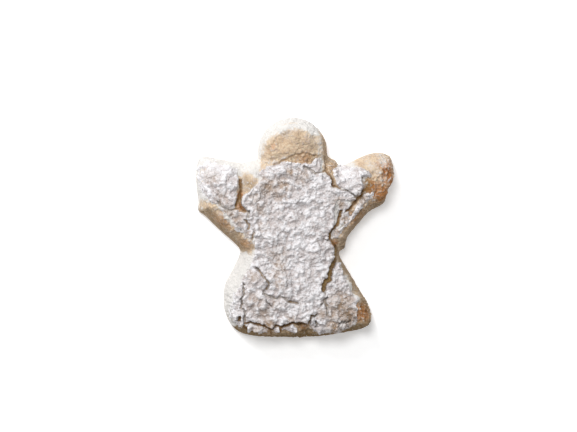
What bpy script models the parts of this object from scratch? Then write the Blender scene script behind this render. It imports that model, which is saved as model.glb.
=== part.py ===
"""An angel-shaped almond paste cookie, baked under icing sugar whose crust has cracked.

The cookie lies on its flat baked base. X runs across the wings, Y from the hem of the gown to the
head and Z up from the base, with the origin under the middle of the cookie. All sizes below are in
millimetres, and the mesh is scaled to metres at the end.

The body starts as the outline, filled and extruded. Each place then rises with its distance from the
outline: a short upright edge, a wall that leans in, and a low crown. The crust is relief on that
body: a raised plate with bare zones, open cracks and lumps.
"""

import math

import bmesh
import bpy
import numpy as np
from mathutils import Vector, noise

MILLIMETRE = 0.001

# Outline at the girth, clockwise seen from above. The head is an arc of a circle.
HEAD_CENTRE = (-1.0, 26.5)
HEAD_RADIUS = 12.2
HEAD_FROM_DEGREES = 191
HEAD_TO_DEGREES = -5
HEAD_STEPS = 16
RIGHT_WING = (
    (12.3, 24.4), (14.4, 23.4), (15.5, 21.5), (20.2, 23.3), (25.8, 25.7), (30.0, 26.1),
    (33.0, 25.1), (34.3, 22.3), (34.5, 16.7), (32.5, 12.8), (31.3, 8.7), (29.0, 7.1),
    (25.5, 5.1), (19.2, -2.2), (17.9, -4.3), (17.4, -6.8), (15.3, -8.8),
)
SKIRT = (
    (16.1, -10.9), (21.6, -20.1), (25.5, -26.7), (26.9, -31.6), (25.1, -35.1), (17.8, -36.9),
    (7.3, -38.2), (-3.9, -38.2), (-14.4, -37.7), (-20.7, -35.6), (-24.2, -30.6),
    (-25.2, -25.7), (-24.7, -19.4), (-21.8, -13.8), (-19.6, -9.0),
)
LEFT_WING = (
    (-19.8, -6.6), (-27.4, 0.4), (-31.6, 4.6), (-34.3, 6.7), (-34.0, 9.9), (-34.8, 16.0),
    (-34.4, 22.6), (-32.3, 25.3), (-25.6, 24.1), (-19.3, 23.0), (-16.5, 23.5), (-13.6, 23.9),
)
OUTLINE_STEPS = 6

# Body: how the paste rises inwards from the outline.
EDGE_HEIGHT = 2.2
WALL_TOP = 11.1
WALL_LEAN = 3.1
CROWN_RISE = 1.6
CROWN_REACH = 6.5

# Crust of baked icing sugar.
CRUST_THICKNESS = 0.9
CRUST_STARTS = 2.0
CRUST_EDGE = 0.6
BREAK_WANDER = 0.55
BREAK_WANDER_SIZE = 1.9
LUMP_HEIGHT = 0.34
LUMP_SIZE = 2.6
PASTE_LUMP_HEIGHT = 0.12

# Zones with no crust, where the paste shows: the face, gaps beside the wings, the toasted wing
# tip and chipped places along the hem.
BARE_ZONES = {
    "face": (
        (-11.6, 31.2), (-7.1, 36.2), (-2.2, 37.3), (3.1, 35.2), (6.6, 31.2), (6.4, 28.0),
        (7.4, 25.2), (4.8, 23.4), (-0.8, 23.3), (-3.2, 24.0), (-8.1, 22.8), (-12.2, 23.4),
        (-14.1, 27.0),
    ),
    "left_shoulder": (
        (-22.1, 20.3), (-17.9, 20.7), (-15.1, 19.6), (-15.3, 16.5), (-20.7, 11.0),
        (-18.3, 7.0), (-23.9, 7.5), (-22.7, 11.9), (-21.6, 18.2),
    ),
    "right_shoulder": (
        (8.0, 20.3), (9.7, 25.2), (13.2, 25.2), (14.6, 22.4), (13.6, 19.6), (14.3, 14.4),
        (12.2, 14.7), (10.9, 18.6),
    ),
    "right_wing": (
        (21.6, 19.6), (25.8, 20.1), (24.1, 23.8), (28.3, 25.2), (33.5, 22.4), (33.5, 14.0),
        (27.6, 12.6), (21.6, 10.5), (19.9, 9.1), (22.7, 16.8),
    ),
    "right_flank": (
        (12.7, 10.2), (19.2, 10.3), (19.9, 8.8), (17.8, 5.5), (14.6, 1.4), (13.2, -0.7),
        (12.3, 0.4), (12.1, 5.0),
    ),
    "hem_corner": (
        (19.2, -26.1), (21.6, -24.5), (25.5, -27.0), (26.5, -32.0), (23.4, -34.0),
        (20.2, -32.7), (19.5, -30.8), (20.6, -28.7),
    ),
    "hem_notch": ((-1.1, -37.0), (1.0, -34.1), (0.6, -32.5), (2.4, -33.2), (5.2, -37.0)),
    "hem_left_chip": ((-20.7, -32.5), (-18.3, -31.8), (-17.9, -33.9), (-18.6, -35.7), (-21.4, -34.3)),
}

# Open cracks: half their width at the surface, and their route.
CRACK_DEPTH = 1.5
CRACKS = {
    "chest_right": (
        0.75,
        ((14.8, 6.8), (14.3, 4.9), (12.7, 1.1), (10.9, -2.4), (11.5, -4.2), (12.9, -6.3)),
    ),
    "skirt_right": (
        0.75,
        ((13.0, -7.0), (12.9, -9.4), (11.8, -11.9), (10.6, -16.1), (9.0, -17.3), (8.7, -21.7)),
    ),
    "skirt_right_end": (0.5, ((8.7, -21.7), (9.0, -23.4), (8.4, -24.8), (9.5, -26.2), (9.9, -29.7))),
    "right_shoulder": (0.6, ((11.3, 18.9), (11.3, 16.8), (12.2, 15.1), (14.6, 14.0), (19.5, 10.9))),
    "right_wing_seam": (
        0.8,
        ((23.0, 14.0), (21.6, 11.2), (19.5, 9.3), (17.1, 6.7), (14.8, 6.3)),
    ),
    "collar_right": (0.6, ((1.7, 21.9), (4.1, 21.0), (5.9, 19.8), (7.6, 20.0), (9.4, 21.0))),
    "chin": (
        0.5,
        ((-8.5, 22.8), (-6.4, 23.5), (-2.9, 25.7), (-0.8, 26.7), (3.1, 26.8), (7.3, 25.2)),
    ),
    "left_shoulder": (0.8, ((-19.7, 18.6), (-20.0, 13.0), (-21.3, 10.9), (-22.1, 9.1))),
    "left_chest": (
        0.5,
        ((-21.3, 10.9), (-17.9, 6.7), (-18.6, 3.9), (-17.4, 0.7), (-16.0, -0.7), (-16.0, -5.9)),
    ),
    "left_wing": (0.6, ((-25.6, 9.5), (-24.2, 7.7), (-18.6, 7.0))),
    "skirt_left": (
        0.5,
        ((-15.3, -12.6), (-12.9, -15.7), (-10.1, -18.7), (-12.3, -21.5), (-9.2, -23.4),
         (-6.4, -22.6), (-0.4, -25.5)),
    ),
    "skirt_left_edge": (
        0.5,
        ((-19.7, -19.2), (-19.0, -21.7), (-20.4, -26.2), (-19.0, -30.1), (-18.6, -31.8)),
    ),
    "hem": (
        0.75,
        ((-18.6, -31.8), (-13.0, -32.9), (-10.6, -33.9), (-5.0, -32.9), (-1.5, -31.7),
         (1.3, -34.3), (3.4, -31.1), (9.0, -29.0)),
    ),
}

# Broad swells and hollows of the top: place, reach and rise.
SWELLS = (
    ((-17.5, 14.5), 3.0, 0.5),
    ((-7.0, 20.5), 3.0, 0.5),
    ((-4.0, 17.5), 3.2, -0.7),
    ((-11.5, 11.5), 4.0, -0.5),
    ((-8.0, 1.0), 4.5, 0.4),
    ((8.5, 14.0), 4.0, 0.4),
    ((6.5, -14.0), 5.0, 0.4),
    ((-5.0, -9.0), 4.5, -0.4),
)

SLAB_HEIGHT = 3.0
PLAN_VOXEL = 0.8
BODY_VOXEL = 0.5
SMOOTHING_ROUNDS = 4
BASE_FLAT_WITHIN = 0.08
MOST_TRIANGLES = 10000


def smooth_loop(corners, steps):
    """A closed smooth line through the corners, with this many steps between neighbours."""
    p = np.array(corners, float)
    before, after, beyond = np.roll(p, 1, 0), np.roll(p, -1, 0), np.roll(p, -2, 0)
    rows = []
    for t in np.arange(steps) / steps:
        rows.append(
            0.5 * (2 * p + (after - before) * t
                   + (2 * before - 5 * p + 4 * after - beyond) * t**2
                   + (3 * p - before - 3 * after + beyond) * t**3)
        )
    return np.stack(rows, 1).reshape(-1, 2)


def outline():
    """The cookie's outline at the girth, as a closed line of many short steps."""
    angles = np.radians(np.linspace(HEAD_FROM_DEGREES, HEAD_TO_DEGREES, HEAD_STEPS))
    head = [
        (HEAD_CENTRE[0] + HEAD_RADIUS * math.cos(a), HEAD_CENTRE[1] + HEAD_RADIUS * math.sin(a))
        for a in angles
    ]
    return smooth_loop(head + list(RIGHT_WING) + list(SKIRT) + list(LEFT_WING), OUTLINE_STEPS)


def distance_to(places, route, closed=False):
    """How far each place is from a route of straight steps."""
    starts = np.array(route, float)
    ends = np.roll(starts, -1, 0)
    if not closed:
        starts, ends = starts[:-1], ends[:-1]
    best = np.full(len(places), np.inf)
    for start, end in zip(starts, ends):
        along = end - start
        share = np.clip((places - start) @ along / (along @ along), 0, 1)
        gap = np.linalg.norm(places - start - share[:, None] * along, axis=1)
        best = np.minimum(best, gap)
    return best


def inside(places, loop):
    """Whether each place lies inside a closed loop, by counting the crossings to its right."""
    crossings = np.zeros(len(places), int)
    starts = np.array(loop, float)
    for start, end in zip(starts, np.roll(starts, -1, 0)):
        spans = (start[1] > places[:, 1]) != (end[1] > places[:, 1])
        rise = end[1] - start[1] or 1.0
        crossing_x = start[0] + (places[:, 1] - start[1]) * (end[0] - start[0]) / rise
        crossings += spans & (places[:, 0] < crossing_x)
    return crossings % 2 == 1


def depth_inside(places, loop):
    """How far inside a closed loop each place lies, negative outside it."""
    gap = distance_to(places, loop, closed=True)
    return np.where(inside(places, loop), gap, -gap)


def ease(values, low, high):
    """0 below low, 1 above high and a smooth step between."""
    t = np.clip((values - low) / (high - low), 0, 1)
    return t * t * (3 - 2 * t)


def noise_at(places, size, seed):
    """Smooth noise from about -1 to 1 with features of this size."""
    return np.array([noise.noise(Vector((x / size, y / size, seed))) for x, y in places])


def wandered(places):
    """The places moved about a little, so that a break that follows them runs unevenly."""
    moves = [noise_at(places, BREAK_WANDER_SIZE, seed) for seed in (3.3, 5.7)]
    return places + BREAK_WANDER * np.stack(moves, 1)


def paste_height(depth):
    """Height of the paste where the outline is this far away."""
    wall = np.clip(depth / WALL_LEAN, 0, 1)
    crown = np.clip((depth - WALL_LEAN) / CROWN_REACH, 0, 1)
    wall_rise = (WALL_TOP - EDGE_HEIGHT) * (1 - (1 - wall) ** 1.5)
    return EDGE_HEIGHT + wall_rise + CROWN_RISE * (1 - (1 - crown) ** 2)


def crust_cover(places, depth):
    """1 where the crust lies on the paste and 0 where the paste is bare."""
    wander = places - wandered(places)
    cover = ease(depth + wander[:, 0], CRUST_STARTS, CRUST_STARTS + CRUST_EDGE)
    for zone in BARE_ZONES.values():
        outside = -depth_inside(wandered(places), smooth_loop(zone, 3))
        cover *= ease(outside, 0, CRUST_EDGE)
    return cover


def crack_fall(places):
    """How far the surface falls into the open cracks."""
    fall = np.zeros(len(places))
    moved = wandered(places)
    for half_width, route in CRACKS.values():
        gap = distance_to(moved, route)
        fall = np.maximum(fall, CRACK_DEPTH * (1 - ease(gap, 0.2 * half_width, 1.4 * half_width)))
    return fall


def swell_rise(places):
    """Broad rise and fall of the top."""
    rise = np.zeros(len(places))
    for centre, reach, height in SWELLS:
        gap = np.linalg.norm(places - np.array(centre), axis=1)
        rise += height * np.exp(-((gap / reach) ** 2))
    return rise


def relief(places, depth):
    """Height of crust, cracks and lumps over the smooth body."""
    cover = crust_cover(places, depth)
    lumps = noise_at(places, LUMP_SIZE, 7.1) + 0.5 * noise_at(places, LUMP_SIZE / 2, 9.4)
    top = ease(depth, 0.5 * CRUST_STARTS, CRUST_STARTS)
    crust = cover * (CRUST_THICKNESS + LUMP_HEIGHT * lumps)
    bare = (1 - cover) * PASTE_LUMP_HEIGHT * lumps
    return crust + bare + top * (swell_rise(places) - crack_fall(places))


def mesh_object(name, mesh, collection):
    """A new object in the collection."""
    made = bpy.data.objects.new(name, mesh)
    collection.objects.link(made)
    return made


def with_modifiers_applied(thing):
    """Gives the object its evaluated mesh in place of its modifiers."""
    graph = bpy.context.evaluated_depsgraph_get()
    mesh = bpy.data.meshes.new_from_object(thing.evaluated_get(graph))
    thing.modifiers.clear()
    thing.data = mesh


def voxel_remesh(thing, size):
    """Rebuilds the object's mesh as even quads of this size."""
    remesh = thing.modifiers.new("even_quads", "REMESH")
    remesh.mode = "VOXEL"
    remesh.voxel_size = size
    with_modifiers_applied(thing)


def coordinates(mesh):
    """The mesh's vertices as rows of x, y and z."""
    flat = np.empty(len(mesh.vertices) * 3, np.float32)
    mesh.vertices.foreach_get("co", flat)
    return flat.reshape(-1, 3).astype(float)


def set_coordinates(mesh, rows):
    """Moves the mesh's vertices to these rows."""
    mesh.vertices.foreach_set("co", rows.astype(np.float32).ravel())
    mesh.update()


def slab(loop, collection):
    """The outline filled and extruded from the base to SLAB_HEIGHT, as a closed mesh."""
    curve = bpy.data.curves.new("outline", "CURVE")
    curve.dimensions = "2D"
    curve.fill_mode = "BOTH"
    curve.extrude = SLAB_HEIGHT / 2
    spline = curve.splines.new("POLY")
    spline.points.add(len(loop) - 1)
    for point, (x, y) in zip(spline.points, loop):
        point.co = (x, y, 0, 1)
    spline.use_cyclic_u = True
    source = mesh_object("outline", curve, collection)
    graph = bpy.context.evaluated_depsgraph_get()
    mesh = bpy.data.meshes.new_from_object(source.evaluated_get(graph))
    bpy.data.objects.remove(source)
    shell = bmesh.new()
    shell.from_mesh(mesh)
    bmesh.ops.remove_doubles(shell, verts=shell.verts, dist=0.001)
    bmesh.ops.translate(shell, verts=shell.verts, vec=(0, 0, SLAB_HEIGHT / 2))
    shell.to_mesh(mesh)
    shell.free()
    return mesh_object("almond_cookie", mesh, collection)


def raise_body(thing, loop):
    """Lifts the slab's top to the paste's height and draws the foot in, then smooths it."""
    rows = coordinates(thing.data)
    depth = np.clip(depth_inside(rows[:, :2], loop), 0, None)
    rows[:, 2] *= paste_height(depth) / SLAB_HEIGHT
    set_coordinates(thing.data, rows)
    voxel_remesh(thing, BODY_VOXEL)
    smooth = thing.modifiers.new("even_walls", "SMOOTH")
    smooth.factor = 0.5
    smooth.iterations = SMOOTHING_ROUNDS
    with_modifiers_applied(thing)


def carve_relief(thing, loop):
    """Adds the crust, cracks and lumps to the top and walls, and flattens the base."""
    rows = coordinates(thing.data)
    normals = np.array([v.normal for v in thing.data.vertices])
    depth = depth_inside(rows[:, :2], loop)
    upward = ease(normals[:, 2], -0.2, 0.3) * ease(rows[:, 2], 0.5, 2.0)
    rows += normals * (upward * relief(rows[:, :2], depth))[:, None]
    rows[rows[:, 2] < 0.5 * BODY_VOXEL, 2] = 0
    set_coordinates(thing.data, rows)


def centre_over_origin(thing):
    """Puts the middle of the cookie's footprint over the origin, and its base at zero."""
    rows = coordinates(thing.data)
    low, high = rows.min(0), rows.max(0)
    rows -= ((low[0] + high[0]) / 2, (low[1] + high[1]) / 2, low[2])
    set_coordinates(thing.data, rows * MILLIMETRE)


def thin_mesh(thing):
    """Spends the faces where the surface bends, and sets the base flat again."""
    decimate = thing.modifiers.new("thinned", "DECIMATE")
    decimate.ratio = MOST_TRIANGLES / (2 * len(thing.data.polygons))
    decimate.use_collapse_triangulate = True
    with_modifiers_applied(thing)
    rows = coordinates(thing.data)
    rows[rows[:, 2] < BASE_FLAT_WITHIN, 2] = 0
    set_coordinates(thing.data, rows)


def baked_sugar():
    """Icing sugar crust over almond paste: off-white, dry and matt."""
    material = bpy.data.materials.new("baked_icing_sugar")
    material.use_nodes = True
    shader = material.node_tree.nodes["Principled BSDF"]
    shader.inputs["Base Color"].default_value = (0.72, 0.66, 0.60, 1)
    shader.inputs["Roughness"].default_value = 0.9
    shader.inputs["Metallic"].default_value = 0.0
    return material


def main():
    for leftover in list(bpy.data.objects):
        bpy.data.objects.remove(leftover)
    collection = bpy.data.collections.new("almond_paste_cookie")
    bpy.context.scene.collection.children.link(collection)
    loop = outline()
    cookie = slab(loop, collection)
    voxel_remesh(cookie, PLAN_VOXEL)
    raise_body(cookie, loop)
    carve_relief(cookie, loop)
    thin_mesh(cookie)
    centre_over_origin(cookie)
    cookie.data.materials.clear()
    cookie.data.materials.append(baked_sugar())
    cookie.data.shade_smooth()


main()
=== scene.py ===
"""The looks of an angel-shaped almond paste cookie, baked under icing sugar whose crust has cracked.

The cookie's solid is the fixed frame. Three kinds of piece dress it: the paste, which repeats the
solid's form and shows in the cracks and on the bare places; the crust of baked sugar, which lies on
the paste in broken plates; and loose sugar, as crumbs and as powder.

Plan sizes are in millimetres from the middle of the solid's footprint: X across the wings, Y from
the gown's hem to the head, Z up from the flat base.
"""

import itertools
import math
from functools import reduce

import bmesh
import bpy
import numpy as np
from bpy.props import FloatProperty, FloatVectorProperty, IntProperty, PointerProperty
from mathutils import Matrix, Vector


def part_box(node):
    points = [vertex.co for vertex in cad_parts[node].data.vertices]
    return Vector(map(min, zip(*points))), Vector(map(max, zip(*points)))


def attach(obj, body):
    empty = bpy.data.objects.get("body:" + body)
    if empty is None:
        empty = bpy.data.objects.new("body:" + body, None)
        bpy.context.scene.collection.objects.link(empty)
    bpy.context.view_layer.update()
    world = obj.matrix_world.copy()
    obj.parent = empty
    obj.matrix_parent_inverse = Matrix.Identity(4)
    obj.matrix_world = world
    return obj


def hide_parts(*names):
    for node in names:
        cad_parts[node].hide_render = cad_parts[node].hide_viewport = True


bl_info = {
    "name": "Almond Paste Cookie",
    "version": (1, 0, 0),
    "blender": (4, 5, 0),
    "location": "3D View > Sidebar > Cookie",
    "description": "An angel-shaped almond paste cookie with a cracked crust of icing sugar",
    "category": "Add Mesh",
}

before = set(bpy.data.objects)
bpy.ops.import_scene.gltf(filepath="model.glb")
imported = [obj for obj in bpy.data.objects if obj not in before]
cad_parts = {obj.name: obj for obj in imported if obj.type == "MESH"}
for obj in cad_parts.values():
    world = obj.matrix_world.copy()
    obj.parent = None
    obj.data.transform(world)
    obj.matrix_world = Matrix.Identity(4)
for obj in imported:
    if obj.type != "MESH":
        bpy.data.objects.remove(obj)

COOKIE_NODE = "almond_cookie"
BODY = "root"
MILLIMETRE = 0.001
SOLID_LOW, SOLID_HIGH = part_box(COOKIE_NODE)

# ---------------------------------------------------------------- plan of the cookie, in mm

# Outline at the girth, clockwise seen from above. The head is an arc of a circle.
HEAD_CENTRE = (-1.0, 26.5)
HEAD_RADIUS = 12.2
HEAD_FROM_DEGREES = 191
HEAD_TO_DEGREES = -5
HEAD_STEPS = 16
RIGHT_WING_EDGE = (
    (12.3, 24.4), (14.4, 23.4), (15.5, 21.5), (20.2, 23.3), (25.8, 25.7), (30, 26.1), (33, 25.1),
    (34.3, 22.3), (34.5, 16.7), (32.5, 12.8), (31.3, 8.7), (29, 7.1), (25.5, 5.1), (19.2, -2.2),
    (17.9, -4.3), (17.4, -6.8), (15.3, -8.8),
)
SKIRT_EDGE = (
    (16.1, -10.9), (21.6, -20.1), (25.5, -26.7), (26.9, -31.6), (25.1, -35.1), (17.8, -36.9),
    (7.3, -38.2), (-3.9, -38.2), (-14.4, -37.7), (-20.7, -35.6), (-24.2, -30.6), (-25.2, -25.7),
    (-24.7, -19.4), (-21.8, -13.8), (-19.6, -9),
)
LEFT_WING_EDGE = (
    (-19.8, -6.6), (-27.4, 0.4), (-31.6, 4.6), (-34.3, 6.7), (-34, 9.9), (-34.8, 16), (-34.4, 22.6),
    (-32.3, 25.3), (-25.6, 24.1), (-19.3, 23), (-16.5, 23.5), (-13.6, 23.9),
)
OUTLINE_STEPS = 6

# How the paste rises inwards from the outline.
EDGE_HEIGHT = 2.2
WALL_TOP = 10.5
WALL_LEAN = 3.1
CROWN_RISE = 1.6
CROWN_REACH = 6.5
SLAB_HEIGHT = 3.0
PLAN_VOXEL = 0.8
SMOOTHING_REACH = 1.0

# Broad swells and hollows of the top: X, Y, reach and rise.
SWELLS = (
    (-17.5, 14.5, 3, 0.5), (-7, 20.5, 3, 0.5), (-4, 17.5, 3.2, -0.7), (-11.5, 11.5, 4, -0.5),
    (-8, 1, 4.5, 0.4), (8.5, 14, 4, 0.25), (6.5, -14, 5, 0.4), (-5, -9, 4.5, -0.4),
)

# Furrows pressed or torn into the paste: depth, reach to each side and route.
FURROWS = {
    "left_gap": (1.3, 1.1, ((-20.3, 18.9), (-20.7, 14), (-21, 10.5), (-18.6, 7.3))),
    "left_slope": (0.6, 2.2, ((-18.6, 17), (-18.8, 14))),
    "wing_hollow": (1.1, 1.7, ((22.7, 18.5), (23.4, 15.4), (22.4, 11.9), (19.6, 9.4))),
    "cheek": (0.8, 0.45, ((-8, 31.9), (-9, 30), (-11.2, 27.6))),
    "neck_right": (0.9, 0.7, ((9.5, 21.5), (10.8, 18), (12.2, 15.2))),
    "head_right": (0.8, 0.7, ((9.8, 25.2), (10.1, 22), (9.5, 20.7))),
    "hem_notch": (1.5, 1.7, ((1.6, -33.4), (3.2, -35.2))),
    "hem_corner": (0.8, 1, ((-19.9, -29.6), (-20.2, -31))),
    "hem_foot": (0.9, 1.1, ((-18.2, -34.4), (-17, -35.4))),
    "chest_right": (0.6, 1, ((12.8, -3.8), (14.4, -6))),
}

# Plates of the crust: thickness, how far its edge thins out to each side, and the edge.
PLATES = {
    "gown": (0.95, 0.25, (
        (-14.1, 20), (-10.9, 22.1), (-8.1, 23.1), (-5.7, 24.2), (-2.2, 23.5), (0.3, 23.3), (4.1, 23.1),
        (5.3, 24.5), (7.3, 24.9), (7.8, 23.1), (7.3, 21), (8.3, 19.6), (10.4, 18.9), (11.3, 17.5),
        (11.1, 15.4), (12.2, 14.5), (16.7, 13.7), (19.7, 10.9), (17.8, 10.3), (13.2, 10.3), (12.3, 8.1),
        (12.2, 2.5), (10.2, -2.1), (12.5, -6.3), (13.6, -9.1), (13.6, -11.2), (15.7, -16.1),
        (19.5, -24.8), (18.5, -25.9), (20.2, -27.6), (19.2, -32.2), (13.6, -34.1), (8, -35), (7.2, -36.2),
        (4.4, -33.7), (2.6, -32.2), (-0.8, -31.7), (-4.3, -32.7), (-8.5, -33.1), (-10.2, -33.8),
        (-14.4, -32), (-19.7, -32), (-20.7, -24.5), (-20.7, -18.9), (-17.2, -12.9), (-15.3, -6.6),
        (-15.8, -1), (-17.9, 3.9), (-17.6, 6.3), (-20.7, 10.5), (-16.5, 14.7), (-13, 18.2),
    )),
    "skirt_left": (0.6, 1.3, (
        (-15.9, -11.4), (-18, -16.3), (-20.1, -19.1), (-21.8, -21.2), (-22.9, -24.7), (-23.2, -28.2),
        (-22.4, -31), (-20.9, -33), (-19.5, -33), (-18, -31), (-15, -31), (-14.1, -23.3), (-14.1, -16.3),
    )),
    "skirt_right": (0.85, 0.9, (
        (13, -11.3), (15.1, -14.8), (16.8, -19), (18.6, -23.2), (20.3, -25.3), (18.8, -27.4),
        (20.3, -30.9), (18.9, -33.5), (16.1, -34.8), (10.9, -35.5), (6.6, -35.8), (5.4, -34.6),
        (5.4, -31.6), (9.1, -31.6), (10.2, -24.6), (9.5, -21.1), (11.2, -15.8),
    )),
    "left_wing": (0.65, 0.8, (
        (-33, 17.2), (-31, 17.6), (-29, 18.8), (-25.6, 19.6), (-21.4, 17.9), (-21.4, 16.1), (-22.5, 11.9),
        (-22.1, 10.5), (-22.8, 8.8), (-26, 8.8), (-30.5, 10.2), (-32.4, 12.2),
    )),
    "left_wing_film": (0.28, 1.2, (
        (-34.6, 21.7), (-34.8, 17.5), (-34.2, 14.2), (-32.8, 12.2), (-30.2, 10.4), (-27.4, 8.2),
        (-25.2, 5.2), (-22.6, 2), (-19.4, -0.9), (-16.9, -2.6), (-15.8, -1.8), (-16.5, 1.4), (-18.6, 5.6),
        (-22.1, 7.7), (-22.8, 11.9), (-21.4, 16.8), (-22, 20.9), (-25.5, 22.7), (-29.5, 24), (-32.5, 24),
    )),
    "left_flank": (0.65, 0.9, (
        (-26.5, 7.8), (-24.4, 6.7), (-18.3, 6.3), (-17.6, 1.1), (-16.4, -0.6), (-17.6, -1.5), (-21.8, 2),
        (-24.4, 4.8),
    )),
    "right_wing": (0.85, 0.4, (
        (12.3, 20.7), (14.6, 21.7), (17.8, 21.5), (23, 20.7), (25.8, 18.9), (24.1, 18.2), (21.9, 18.3),
        (22.3, 14.7), (21.2, 11.8), (19.6, 11.6), (16.6, 13.6), (13, 16.1),
    )),
    "wing_low": (0.45, 0.6, (
        (22.5, 11.8), (23.9, 12.9), (25.7, 12.5), (25.3, 10.8), (23.6, 9.4), (22.2, 9.7),
    )),
    "flank_chips": (0.45, 0.7, (
        (12.9, 9.8), (14.7, 10.1), (17.3, 8.7), (17.6, 6.6), (17.3, 4.2), (16.4, 3), (14.7, 2.1),
        (13.3, 2.3), (14, 4.9), (13.6, 7.3),
    )),
    "flank_strip": (0.6, 0.7, (
        (21.3, 9.8), (23, 9.2), (21.6, 7.4), (18.8, 3.5), (15.7, 1.1), (13.2, -2.1), (11.5, -2.1),
        (13.9, 1.1), (17.4, 3), (19.2, 7),
    )),
    "hem_left": (0.9, 0.3, ((-17.4, -32.4), (-12.7, -33.3), (-10.2, -34.6), (-13, -35), (-17, -34.3))),
    "hem_middle": (0.9, 0.3, ((-8.8, -33.8), (-7.4, -33.4), (-6.4, -34.3), (-6.7, -35), (-8.5, -35))),
    "hem_right": (1, 0.3, (
        (-5.7, -34.3), (-2.5, -32.9), (-1.2, -33.5), (-0.6, -34.5), (-1.8, -35.3), (-6.2, -35.1),
    )),
}

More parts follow.
